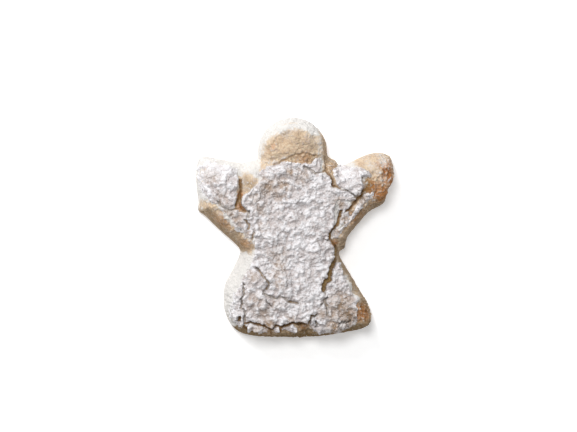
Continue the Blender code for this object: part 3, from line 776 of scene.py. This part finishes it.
def voxel_remesh(thing, cell):
    """Rebuilds the object's mesh as even quads of this size."""
    remesh = thing.modifiers.new("even_quads", "REMESH")
    remesh.mode = "VOXEL"
    remesh.voxel_size = cell
    with_modifiers_applied(thing)


def vertex_rows(mesh, attribute="co"):
    """The mesh's vertices, or their normals, as rows of x, y and z."""
    flat = np.empty(len(mesh.vertices) * 3, np.float32)
    mesh.vertices.foreach_get(attribute, flat)
    return flat.reshape(-1, 3).astype(float)


def set_vertex_rows(mesh, rows):
    """Moves the mesh's vertices to these rows."""
    mesh.vertices.foreach_set("co", rows.astype(np.float32).ravel())
    mesh.update()


def set_attributes(mesh, **marks):
    """Stores numbers for the material to read, one a vertex under each name."""
    for name, values in marks.items():
        attribute = mesh.attributes.new(name, "FLOAT", "POINT")
        attribute.data.foreach_set("value", values.astype(np.float32))


def thin_hidden(thing, hidden):
    """Merges the faces where nothing is seen, down to HIDDEN_SHARE of them."""
    group = thing.vertex_groups.new(name="hidden")
    group.add(np.flatnonzero(hidden).tolist(), 1.0, "REPLACE")
    thinner = thing.modifiers.new("thinned", "DECIMATE")
    thinner.vertex_group = group.name
    thinner.vertex_group_factor = 1
    thinner.ratio = 1 - (1 - HIDDEN_SHARE) * hidden.mean()
    with_modifiers_applied(thing)
    thing.vertex_groups.clear()


def slab(loop):
    """The outline filled and extruded from the base to SLAB_HEIGHT, as a closed mesh."""
    curve = bpy.data.curves.new("outline", "CURVE")
    curve.dimensions = "2D"
    curve.fill_mode = "BOTH"
    curve.extrude = SLAB_HEIGHT / 2
    spline = curve.splines.new("POLY")
    spline.points.add(len(loop) - 1)
    for point, (x, y) in zip(spline.points, loop):
        point.co = (x, y, 0, 1)
    spline.use_cyclic_u = True
    source = mesh_object("outline", curve)
    graph = bpy.context.evaluated_depsgraph_get()
    mesh = bpy.data.meshes.new_from_object(source.evaluated_get(graph))
    bpy.data.objects.remove(source)
    shell = bmesh.new()
    shell.from_mesh(mesh)
    bmesh.ops.remove_doubles(shell, verts=shell.verts, dist=0.001)
    bmesh.ops.translate(shell, verts=shell.verts, vec=(0, 0, SLAB_HEIGHT / 2))
    shell.to_mesh(mesh)
    shell.free()
    return mesh_object("smooth_cookie", mesh)


def smooth_cookie(cell):
    """The cookie with neither crust nor cracks, as even quads of this size."""
    loop = outline()
    thing = slab(loop)
    voxel_remesh(thing, PLAN_VOXEL)
    rows = vertex_rows(thing.data)
    depth = np.clip(depth_inside(rows[:, :2], loop), 0, None)
    rows[:, 2] *= paste_height(depth) / SLAB_HEIGHT
    set_vertex_rows(thing.data, rows)
    voxel_remesh(thing, cell)
    smooth = thing.modifiers.new("even_walls", "SMOOTH")
    smooth.factor = 0.5
    smooth.iterations = round((SMOOTHING_REACH / cell) ** 2)
    with_modifiers_applied(thing)
    return thing


def onto_frame(thing):
    """Moves a finished piece from plan millimetres onto the solid, in metres."""
    loop = outline()
    middle = (SOLID_LOW + SOLID_HIGH) / 2
    rows = vertex_rows(thing.data)
    rows[:, :2] -= (loop.min(0) + loop.max(0)) / 2
    rows *= MILLIMETRE
    rows += (middle.x, middle.y, SOLID_LOW.z)
    set_vertex_rows(thing.data, rows)


def dress(thing, material):
    """Gives a finished piece its material and sets it on the cookie's body."""
    thing.data.materials.clear()
    thing.data.materials.append(material)
    thing.data.shade_smooth()
    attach(thing, BODY)
    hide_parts(COOKIE_NODE)


# ---------------------------------------------------------------- materials


def add(tree, kind, inputs=(), **settings):
    """Adds a node with its settings, and sets or links its inputs."""
    made = tree.nodes.new(kind)
    for name, value in settings.items():
        setattr(made, name, value)
    for key, value in dict(inputs).items():
        if isinstance(value, bpy.types.NodeSocket):
            tree.links.new(value, made.inputs[key])
        else:
            made.inputs[key].default_value = value
    return made


# Sockets of a Mix node set to colour.
FACTOR, COLOUR_A, COLOUR_B, MIXED = 0, 6, 7, 2


def features_per_metre(millimetres):
    """Scale of a noise whose features are this size."""
    return 1 / (millimetres * MILLIMETRE)


def new_material(name, values):
    """A material, its tree and its shader, with these values on the shader's sockets."""
    material = bpy.data.materials.new(name)
    material.use_nodes = True
    tree = material.node_tree
    tree.nodes.clear()
    shader = add(tree, "ShaderNodeBsdfPrincipled", values)
    add(tree, "ShaderNodeOutputMaterial", {"Surface": shader.outputs[0]})
    return material, tree, shader


def layered(tree, base, layers):
    """Lays colours over the base in turn, each coming in as its driver goes from low to high."""
    for driver, low, high, over in layers:
        share = add(tree, "ShaderNodeMapRange", {
            "Value": driver, "From Min": low, "From Max": high,
        }).outputs["Result"]
        base = add(tree, "ShaderNodeMix", {
            FACTOR: share, COLOUR_A: base, COLOUR_B: over,
        }, data_type="RGBA").outputs[MIXED]
    return base


def surface(tree, shader, base, height, relief):
    """Gives the shader its colour and a bump that is this deep in mm."""
    bump = add(tree, "ShaderNodeBump", {
        "Height": height, "Strength": 1.0, "Distance": relief * MILLIMETRE,
    })
    tree.links.new(base, shader.inputs["Base Color"])
    tree.links.new(bump.outputs["Normal"], shader.inputs["Normal"])


def paste_material(settings):
    """Baked almond paste: ground almonds and sugar, dense and matt, with a grainy face.

    It is pale where it stayed soft, golden on top and brown where an edge caught the heat. Its walls
    and hollows turned from the light, and the sides of its cracks, are darkened as painted shade.
    Icing sugar lies on it as powder, and it whitens the walls turned to the lights together with
    painted light. The crumb is too fine to model, so it is bump and speckle.
    """
    material, tree, shader = new_material("baked_almond_paste", {
        "Roughness": 0.78, "IOR": 1.45, "Specular IOR Level": 0.3,
    })
    place = add(tree, "ShaderNodeTexCoord").outputs["Object"]
    toast, powder, gouge, browned, line = [
        add(tree, "ShaderNodeAttribute", attribute_name=name).outputs["Fac"]
        for name in ("toast", "powder", "gouge", "browned", "line")
    ]
    blotches, specks, crumb = [
        add(tree, "ShaderNodeTexNoise", {
            "Vector": place, "Scale": features_per_metre(feature), "Detail": detail,
            "Roughness": roughness,
        }).outputs["Fac"]
        for feature, detail, roughness in ((3.2, 4.0, 0.6), (1.6, 5.0, 0.75), (0.8, 2.0, 0.6))
    ]
    browning = add(tree, "ShaderNodeMath", {
        0: crumb, 1: 2.0, 2: blotches,
    }, operation="MULTIPLY_ADD").outputs[0]
    # Toast, with a few spots of painted shade, broken up by specks.
    heat = add(tree, "ShaderNodeMath", {
        0: specks, 1: 0.9, 2: toast,
    }, operation="MULTIPLY_ADD").outputs[0]
    # Browning and painted shade, broken up by noise.
    baked = add(tree, "ShaderNodeMath", {
        0: browned, 1: 1.7, 2: browning,
    }, operation="MULTIPLY_ADD").outputs[0]
    grain = add(tree, "ShaderNodeMath", {0: crumb, 1: specks}, operation="ADD").outputs[0]
    dusting = add(tree, "ShaderNodeMath", {0: powder, 1: grain}, operation="ADD").outputs[0]
    base = layered(tree, settings.pale, (
        (browning, 1.2, 1.8, settings.golden),
        (heat, 0.6, 1.15, settings.toasted),
        (heat, 1.3, 1.7, settings.scorched_and_crack_shade),
        # browned paste and painted shade
        (baked, 1.6, 3.2, settings.browned),
        (gouge, 0.0, 1.0, settings.crack),
        (dusting, 1.12, 1.7, settings.powder),
        # painted shade along the cracks
        (line, 0.0, 1.0, settings.scorched_and_crack_shade),
    ))
    surface(tree, shader, base, grain, 0.4)
    return material


def sugar_material(settings):
    """Baked icing sugar: powder that took up fat and steam and dried to a chalky crust.

    It is white and matt on its ridges and greyer in its hollows, where the grey is painted shade.
    It is tinted by the paste where it is thin, and the tint is also painted shade, most in the hollows.
    The dark colour in its cracks is painted shade. The grit of the sugar is bump.
    """
    material, tree, shader = new_material("baked_icing_sugar", {
        "Roughness": 0.92, "Specular IOR Level": 0.2,
    })
    place = add(tree, "ShaderNodeTexCoord").outputs["Object"]
    hollow, thin, cracked = [
        add(tree, "ShaderNodeAttribute", attribute_name=name).outputs["Fac"]
        for name in ("hollow", "thin", "cracked")
    ]
    blotches, grit = [
        add(tree, "ShaderNodeTexNoise", {
            "Vector": place, "Scale": features_per_metre(feature), "Detail": detail,
            "Roughness": roughness,
        }).outputs["Fac"]
        for feature, detail, roughness in ((2.4, 5.0, 0.65), (0.8, 2.0, 0.6))
    ]
    speckle = add(tree, "ShaderNodeMath", {
        0: grit, 1: 2.2, 2: blotches,
    }, operation="MULTIPLY_ADD").outputs[0]
    # Painted shade in the hollows, with random grit and blotches.
    shading = add(tree, "ShaderNodeMath", {0: hollow, 1: speckle}, operation="ADD").outputs[0]
    # The tint, partly painted shade, comes in most where the hollows' painted shade is.
    tint_and_shade = add(tree, "ShaderNodeMath", {0: thin, 1: shading}, operation="MULTIPLY").outputs[0]
    base = layered(tree, settings.sugar, (
        (shading, 1.65, 2.65, settings.shade),
        (tint_and_shade, 0.3, 2.4, settings.tint),
        (cracked, 0.0, 1.0, settings.crack),
    ))
    surface(tree, shader, base, grit, 0.7)
    return material


def crumb_material():
    """Crumbs and powder of icing sugar: bright, matt and slightly uneven."""
    material, tree, shader = new_material("loose_icing_sugar", {"Roughness": 0.9})
    place = add(tree, "ShaderNodeTexCoord").outputs["Object"]
    patches = add(tree, "ShaderNodeTexNoise", {
        "Vector": place, "Scale": features_per_metre(1.5), "Detail": 2.0,
    }).outputs["Fac"]
    base = layered(tree, linear("EFEDEE"), ((patches, 0.0, 1.0, linear("DDD5D0")),))
    tree.links.new(base, shader.inputs["Base Color"])
    return material


# ---------------------------------------------------------------- pieces


def crust_height(rows, rooting):
    """Height of the crust's face over the paste; at minus the rooting there is no crust."""
    places = wandered(rows)
    height = np.full(len(rows), -rooting)
    ragged = noise(rows, "ragged", "ragged_fine")
    for thickness, soft, edge in PLATES.values():
        depth = edge_depth(places, edge) + soft * ragged
        lip = LIP_SHARE * np.exp(-(((depth - LIP_INSET) / LIP_REACH) ** 2)) * (soft < SHARP_EDGE)
        plate = (thickness + rooting) * ease(depth, -soft, soft) - rooting + lip * thickness
        height = np.maximum(height, plate)
    cut = crack_share(places, "crust_cut")
    dip = CRACK_DIP * crack_share(places, "crust_dip")
    # The second value is the share of painted shade in the cracks.
    return height - (height + rooting) * cut - dip, crack_share(places, "crust_crack_shade")


def fringe(rows):
    """1 where soft-edged crust lies, falling to 0 at the reach of the FRINGE round it."""
    near = np.zeros(len(rows))
    for _, soft, edge in PLATES.values():
        if soft > SHARP_EDGE:
            near = np.maximum(near, ease(edge_depth(rows[:, :2], edge), -FRINGE, 0.0))
    return near


def crust_lumps(rows, settings):
    """Crumpled ridges, cobbles and grit on the crust, with blunt tops, in mm."""
    feature, seed, reach = NOISES["warp"]
    warped = rows + reach * np.stack([noise_at(rows, feature, seed + axis) for axis in (0, 1, 2)], 1)
    ridges, cobbles = [pebbles(warped, *NOISES[kind][:2]) - PEBBLE_MIDDLE for kind in ("ridge", "cobble")]
    lumps = (
        settings.ridge_height * ridges
        + settings.cobble_height * cobbles
        + settings.grit_height * noise(rows, "grit")
        + settings.crumple_height * noise(rows, "crumple")
        - settings.pit_depth * ease(noise(rows, "pit"), *PIT_ONSET)
    )
    return BLUNTED * np.tanh(lumps / BLUNTED)


def kept_faces(mesh, keep):
    """The corners of each face whose vertices are all kept, as rows of four."""
    corners = np.empty(len(mesh.loops), np.int32)
    mesh.loops.foreach_get("vertex_index", corners)
    quads = corners.reshape(-1, 4)
    return quads[keep[quads].all(axis=1)]


def border_steps(quads):
    """The directed edges that only one face has."""
    steps = np.concatenate([quads[:, [i, (i + 1) % 4]] for i in range(4)])
    _, index, count = np.unique(np.sort(steps, axis=1), axis=0, return_inverse=True, return_counts=True)
    return steps[count[index.reshape(-1)] == 1]


def without_pinches(quads):
    """Drops faces until no vertex joins two pieces of border by a point."""
    while True:
        steps = border_steps(quads)
        starts, count = np.unique(steps[:, 0], return_counts=True)
        pinched = starts[count > 1]
        if not len(pinched):
            return quads
        quads = quads[~np.isin(quads, pinched).any(axis=1)]


def powder_fallen(rows, normals, broken):
    """Powder on the walls that face where it came from and on the top, less on the bare places. On walls
    turned to the lights it is partly painted light.
    """
    powder = ease(normals @ np.array(POWDER_AND_LIGHT_FROM), *POWDER_AND_LIGHT_FACING)
    patchy = broken + noise(rows, "patch")[:, None]
    for soft, bareness, edge in BARE.values():
        powder *= 1 - bareness * zone(patchy, edge, soft)
    return powder


class COOKIE_OT_paste(bpy.types.Operator):
    """Makes the almond paste: the cookie's body, with its cracks and bare places"""

    bl_idname = "cookie.paste"
    bl_label = "Almond paste"

    def execute(self, context):
        settings = context.scene.cookie_paste
        thing = smooth_cookie(settings.voxel)
        thing.name = "almond_paste"
        rows = vertex_rows(thing.data)
        normals = vertex_rows(thing.data, "normal")
        places = rows[:, :2]
        broken = wandered(rows)
        top = top_share(rows, normals)
        under = ease(-normals[:, 2], *UNDER_TURN)
        foot = 1 - ease(rows[:, 2], *FOOT_HEIGHT)
        rough = spots(places, ROUGH)
        crags = noise(rows, "crag", "crag_fine")
        lumps = noise(rows, "lump", "lump_fine")
        near = fringe(rows) * top
        drift = crust_lumps(rows, context.scene.cookie_crust)
        cut = top * settings.crack_depth * crack_share(broken, "paste_cut")
        # Painted shade along the sides of wide cracks and over all of narrow ones.
        line = crack_share(broken, "paste_crack_shade") - crack_share(broken, "paste_crack_shade_inside")

        rise = settings.lump_height * (lumps + noise(rows, "lump_broad"))
        rise += settings.crag_height * crags * (CRAGS_EVERYWHERE + rough)
        rise += DRIFT_RISE * near * drift
        rise += top * (ground_rise(rows) - along(places, FURROWS)) - cut
        rise *= ease(normals[:, 2], *RISING_TURN) * ease(rows[:, 2], *RISING_HEIGHT)

        high = ease(rows[:, 2] + LUMPS_LIFT_TOAST * lumps, *TOAST_HEIGHT)
        # Toast, with a few spots of painted shade.
        toast = spots(places, TOASTED_AND_SHADED) * (1 - ROUGH_BREAKS_TOAST * rough * crags)
        toast *= LOW_TOAST + (1 - LOW_TOAST) * high
        # Powder, partly painted light on the walls turned to the lights.
        powder = powder_fallen(rows, normals, broken)
        specks = ease(noise(rows, "speck") + CRAGS_IN_SPECKS * crags, *SPECK_ONSET)
        specks *= SPECKS_ON_WALLS + (1 - SPECKS_ON_WALLS) * top
        powder += SPECK_POWDER * rough * specks + CRAG_POWDER * crags * powder
        powder += near * (DRIFT_POWDER[0] + DRIFT_POWDER[1] * drift) * (1 - toast)
        powder = np.clip(powder + spots(places, DUSTED), 0, 1) * (1 - ease(cut, *CUT_CLEARS_POWDER))
        # Browned paste and painted shade on walls and hollows turned from the light.
        browned = along(places, BROWNED_AND_SHADED)
        set_attributes(
            thing.data,
            toast=np.maximum(toast * (1 - under), FOOT_TOAST * foot),
            powder=powder * (1 - under),
            browned=browned + under * (UNDER_BROWNED - browned),
            gouge=ease(cut, *CUT_SHOWS_CRACK),
            line=CRACK_SHADE_STRENGTH * top * np.clip(line, 0, 1),
        )

        base = rows[:, 2] < BASE_HEIGHT
        hidden = crust_height(rows, HIDING_ROOTING)[0] > HIDING_HEIGHT
        hidden |= base & (depth_inside(places, outline()) > BASE_RIM)
        rows += normals * rise[:, None]
        rows[base, 2] = 0
        set_vertex_rows(thing.data, rows)
        thin_hidden(thing, hidden)
        onto_frame(thing)
        dress(thing, paste_material(settings))
        return {"FINISHED"}


class COOKIE_OT_crust(bpy.types.Operator):
    """Makes the crust of baked sugar: broken plates that lie on the paste and root in it"""

    bl_idname = "cookie.crust"
    bl_label = "Sugar crust"

    def execute(self, context):
        settings = context.scene.cookie_crust
        least = LEAST_COVER - settings.rooting
        base = smooth_cookie(settings.voxel)
        rows = vertex_rows(base.data)
        normals = vertex_rows(base.data, "normal")
        on_top = (normals[:, 2] > LOWEST_CRUST_TURN) & (rows[:, 2] > LOWEST_CRUST)
        height = np.full(len(rows), -settings.rooting)
        cracked = np.zeros(len(rows))
        height[on_top], cracked[on_top] = crust_height(rows[on_top], settings.rooting)
        quads = without_pinches(kept_faces(base.data, height > least))
        bpy.data.objects.remove(base)
        used, quads = np.unique(quads, return_inverse=True)
        quads = quads.reshape(-1, 4)
        rows, normals, height, cracked = rows[used], normals[used], height[used], cracked[used]
        places = rows[:, :2]
        full = ease(height, *FULL_CRUST)
        lumps = crust_lumps(rows, settings)
        ground = top_share(rows, normals) * (ground_rise(rows) - along(places, FURROWS) * (1 - full))
        cover = np.maximum(height + full * lumps, least)
        face = rows + normals * (ground + cover)[:, None]
        root = rows + normals * (ground - settings.rooting)[:, None]
        count = len(rows)
        start, end = border_steps(quads).T
        rim = np.column_stack([end, start, start + count, end + count])
        faces = np.concatenate([quads, quads[:, ::-1] + count, rim])
        mesh = bpy.data.meshes.new("sugar_crust")
        mesh.from_pydata(np.concatenate([face, root]).tolist(), [], faces.tolist())
        mesh.validate()
        # Painted shade in the crust's hollows, lifted at the whitest spots.
        hollow = ease(-lumps, *HOLLOW_SHADE) * full - SNOW_FILL * spots(places, SNOWY)
        set_attributes(
            mesh,
            hollow=np.tile(np.clip(hollow, 0, 1), 2),
            # Tint spots, partly thin sugar and partly painted shade.
            thin=np.tile(spots(places, TINTED_AND_SHADED), 2),
            cracked=np.tile(cracked, 2),
        )
        thing = mesh_object("sugar_crust", mesh)
        thin_hidden(thing, np.arange(2 * count) >= count)
        onto_frame(thing)
        dress(thing, sugar_material(settings))
        return {"FINISHED"}


def scatter_tree(name, material):
    """A tree that scatters small lumps over a mesh, as densely as its scatter attribute says."""
    tree = bpy.data.node_groups.new(name, "GeometryNodeTree")
    for label, way, kind in (
        ("Geometry", "INPUT", "Geometry"), ("Density", "INPUT", "Float"),
        ("Radius", "INPUT", "Float"), ("Seed", "INPUT", "Int"), ("Geometry", "OUTPUT", "Geometry"),
    ):
        tree.interface.new_socket(label, in_out=way, socket_type="NodeSocket" + kind)
    given = add(tree, "NodeGroupInput").outputs
    cover = add(tree, "GeometryNodeInputNamedAttribute", {"Name": "scatter"}, data_type="FLOAT")
    density = add(tree, "ShaderNodeMath", {
        0: given["Density"], 1: cover.outputs["Attribute"],
    }, operation="MULTIPLY")
    points = add(tree, "GeometryNodeDistributePointsOnFaces", {
        "Mesh": given["Geometry"], "Density": density.outputs[0], "Seed": given["Seed"],
    })
    lump = add(tree, "GeometryNodeMeshIcoSphere", {"Radius": given["Radius"], "Subdivisions": 1})
    turned, sized = [
        add(tree, "FunctionNodeRandomValue", {
            0: low, 1: high, "Seed": given["Seed"],
        }, data_type="FLOAT_VECTOR")
        for low, high in (LOOSE_TURNS, LOOSE_SCALES)
    ]
    placed = add(tree, "GeometryNodeInstanceOnPoints", {
        "Points": points.outputs["Points"], "Instance": lump.outputs["Mesh"],
        "Rotation": turned.outputs[0], "Scale": sized.outputs[0],
    })
    real = add(tree, "GeometryNodeRealizeInstances", {"Geometry": placed.outputs["Instances"]})
    painted = add(tree, "GeometryNodeSetMaterial", {
        "Geometry": real.outputs["Geometry"], "Material": material,
    })
    add(tree, "NodeGroupOutput", {"Geometry": painted.outputs["Geometry"]})
    return tree


def scatter(name, source, where, density, radius, seed, material):
    """Makes a piece of small lumps over the source, this many a square mm and up to this radius in mm.

    Where says for each vertex of the source how much of that density it gets.
    """
    carrier = mesh_object(name, source.data.copy())
    set_attributes(carrier.data, scatter=where)
    tree = scatter_tree(name, material)
    scattering = carrier.modifiers.new("scatter", "NODES")
    scattering.node_group = tree
    values = {"Density": density * PER_SQUARE_METRE, "Radius": radius * MILLIMETRE, "Seed": seed}
    for item in tree.interface.items_tree:
        if item.in_out == "INPUT" and item.name in values:
            scattering[item.identifier] = values[item.name]
    with_modifiers_applied(carrier)
    dress(carrier, material)


class COOKIE_OT_crumbs(bpy.types.Operator):
    """Scatters crumbs on the crust and powder on the bare paste"""

    bl_idname = "cookie.crumbs"
    bl_label = "Sugar crumbs"

    def execute(self, context):
        settings = context.scene.cookie_crumbs
        material = crumb_material()
        crust = bpy.data.objects["sugar_crust"]
        where = ease(vertex_rows(crust.data, "normal")[:, 2], *CRUMB_TURN)
        scatter(
            "sugar_crumbs", crust, where, settings.crumbs, settings.crumb, settings.seed, material
        )
        paste = bpy.data.objects["almond_paste"]
        powder = np.empty(len(paste.data.vertices), np.float32)
        paste.data.attributes["powder"].data.foreach_get("value", powder)
        where = ease(vertex_rows(paste.data, "normal")[:, 2], *POWDER_TURN)
        where *= STRAY_POWDER + powder**2
        scatter(
            "sugar_powder", paste, where, settings.powder, settings.grain, settings.seed + 1, material
        )
        return {"FINISHED"}


# ---------------------------------------------------------------- stage

VIEW_FROM = (-0.133, 0.079, 1.0)
VIEW_AT_MM = (-2.1, 3.94, 0.0)
VIEW_DISTANCE = 1.0
VIEW_WIDTH = 0.202
SENSOR_MM = 36
KEY_FROM = (-0.24, 0.37, 0.9)
RAKE_FROM = (-0.45, 0.69, 0.57)
LIGHT_DISTANCE = 0.7
FLOOR_REACH = 1.5
FLOOR_GAP_MM = 0.01


def aimed(thing, place, at):
    """Places a light or a camera and turns it to look at a point, with +Y up in its view."""
    back = (place - at).normalized()
    right = Vector((0, 1, 0)).cross(back).normalized()
    turn = Matrix((right, back.cross(right), back)).transposed()
    thing.matrix_world = Matrix.LocRotScale(place, turn.to_quaternion(), None)


class COOKIE_OT_stage(bpy.types.Operator):
    """Makes the floor, the lights and the camera"""

    bl_idname = "cookie.stage"
    bl_label = "Studio stage"

    def execute(self, context):
        settings = context.scene.cookie_stage
        scene = context.scene
        grid = bmesh.new()
        bmesh.ops.create_grid(grid, x_segments=2, y_segments=2, size=FLOOR_REACH)
        mesh = bpy.data.meshes.new("floor")
        grid.to_mesh(mesh)
        grid.free()
        floor = mesh_object("floor", mesh)
        floor.location.z = SOLID_LOW.z - FLOOR_GAP_MM * MILLIMETRE
        material = new_material("white_board", {
            "Base Color": settings.floor, "Roughness": 0.9, "Specular IOR Level": 0.1,
            "Emission Color": settings.floor, "Emission Strength": settings.glow,
        })[0]
        mesh.materials.append(material)

        middle = Vector(VIEW_AT_MM) * MILLIMETRE
        for name, power, side in (
            ("key", settings.key_power, KEY_FROM), ("rake", settings.rake_power, RAKE_FROM),
        ):
            light = bpy.data.lights.new(name, "AREA")
            light.energy = power
            light.size = settings.light_size
            place = middle + Vector(side).normalized() * LIGHT_DISTANCE
            aimed(mesh_object(name, light), place, middle)

        world = bpy.data.worlds.new("studio")
        world.use_nodes = True
        background = world.node_tree.nodes["Background"]
        background.inputs["Color"].default_value = (1, 1, 1, 1)
        background.inputs["Strength"].default_value = settings.ambient
        scene.world = world

        camera = bpy.data.cameras.new("camera")
        camera.sensor_width = SENSOR_MM
        camera.lens = SENSOR_MM * VIEW_DISTANCE / VIEW_WIDTH
        scene.camera = mesh_object("camera", camera)
        aimed(scene.camera, middle + Vector(VIEW_FROM).normalized() * VIEW_DISTANCE, middle)
        scene.view_settings.view_transform = "Standard"
        scene.view_settings.look = "None"
        return {"FINISHED"}


# ---------------------------------------------------------------- add-on

OPERATORS = (COOKIE_OT_paste, COOKIE_OT_crust, COOKIE_OT_crumbs, COOKIE_OT_stage)
SETTINGS = {
    "cookie_paste": PasteSettings,
    "cookie_crust": CrustSettings,
    "cookie_crumbs": CrumbSettings,
    "cookie_stage": StageSettings,
}


class COOKIE_PT_panel(bpy.types.Panel):
    """Lists the cookie's pieces with their sizes and colours"""

    bl_idname = "COOKIE_PT_panel"
    bl_label = "Almond paste cookie"
    bl_space_type = "VIEW_3D"
    bl_region_type = "UI"
    bl_category = "Cookie"

    def draw(self, context):
        for operator, (name, group) in zip(OPERATORS, SETTINGS.items()):
            box = self.layout.box()
            box.operator(operator.bl_idname)
            for setting in group.__annotations__:
                box.prop(getattr(context.scene, name), setting)


def register():
    for group in SETTINGS.values():
        bpy.utils.register_class(group)
    for name, group in SETTINGS.items():
        setattr(bpy.types.Scene, name, PointerProperty(type=group))
    for operator in OPERATORS:
        bpy.utils.register_class(operator)
    bpy.utils.register_class(COOKIE_PT_panel)


def unregister():
    bpy.utils.unregister_class(COOKIE_PT_panel)
    for operator in reversed(OPERATORS):
        bpy.utils.unregister_class(operator)
    for name in SETTINGS:
        delattr(bpy.types.Scene, name)
    for group in SETTINGS.values():
        bpy.utils.unregister_class(group)


def main():
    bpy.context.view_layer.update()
    register()
    for operator in OPERATORS:
        area, name = operator.bl_idname.split(".")
        getattr(getattr(bpy.ops, area), name)()


if __name__ == "__main__":
    main()
